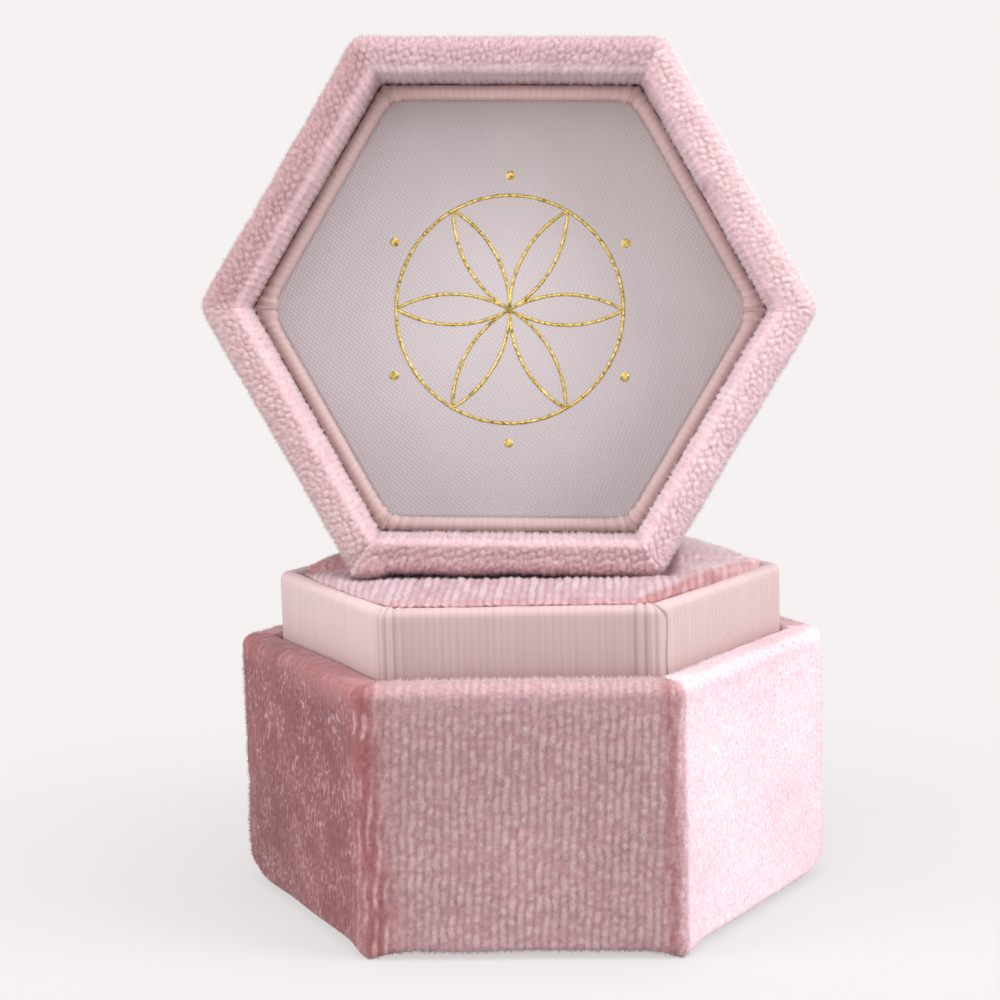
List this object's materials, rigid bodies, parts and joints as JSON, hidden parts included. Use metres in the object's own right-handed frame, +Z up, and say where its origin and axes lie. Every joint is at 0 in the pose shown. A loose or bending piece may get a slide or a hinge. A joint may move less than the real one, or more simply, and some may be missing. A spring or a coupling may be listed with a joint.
{
  "type": "ring box",
  "caption": "Hexagonal velvet ring box with a ribbon-wrapped collar, a slotted ring pad and a lift-off lid that stands open on its edge.",
  "frame": {"origin": "centre of the base's underside, on the surface that the box stands on", "axes": "+Z up, -Y out of the front flat that the lid's open side faces, +X to the right seen from the front"},
  "size_m": [0.0621, 0.0526, 0.086],
  "materials": {
    "outer_velvet": "dusty pink crushed velvet with short pile",
    "lid_velvet": "dusty pink velvet with short pile, the same cloth as the base's",
    "pad_velvet": "dusty pink ribbed velvet",
    "grosgrain": "pink beige grosgrain ribbon with fine upright ribs",
    "satin": "silvery pink twill satin",
    "gold_foil": "pressed gold foil",
    "greyboard": "plain grey board",
    "foam": "soft open foam"
  },
  "bodies": {
    "base": {"base_wall_board": "greyboard", "base_floor_board": "greyboard", "base_side_velvet": "outer_velvet", "base_bottom_velvet": "outer_velvet", "collar_board": "greyboard", "collar_ribbon": "grosgrain"},
    "ring_pad": {"pad_card": "greyboard", "pad_foam_front": "foam", "pad_foam_back": "foam", "pad_velvet_front": "pad_velvet", "pad_velvet_back": "pad_velvet"},
    "lid": {"lid_wall_board": "greyboard", "lid_top_board": "greyboard", "lid_side_velvet": "lid_velvet", "lid_top_velvet": "lid_velvet", "lid_trim_board": "greyboard", "lid_trim_ribbon": "grosgrain", "lid_panel_card": "greyboard", "lid_panel_foam": "foam", "lid_satin": "satin", "foil_motif": "gold_foil"}
  },
  "joints": [
    {"name": "ring_pad_lift", "type": "slide", "parent": "base", "child": "ring_pad", "axis": [0, 0, 1], "range_m": [0, 0.03]},
    {"name": "lid_lift", "type": "slide", "parent": "ring_pad", "child": "lid", "axis": [0, 0, 1], "range_m": [0, 0.06]}
  ]
}
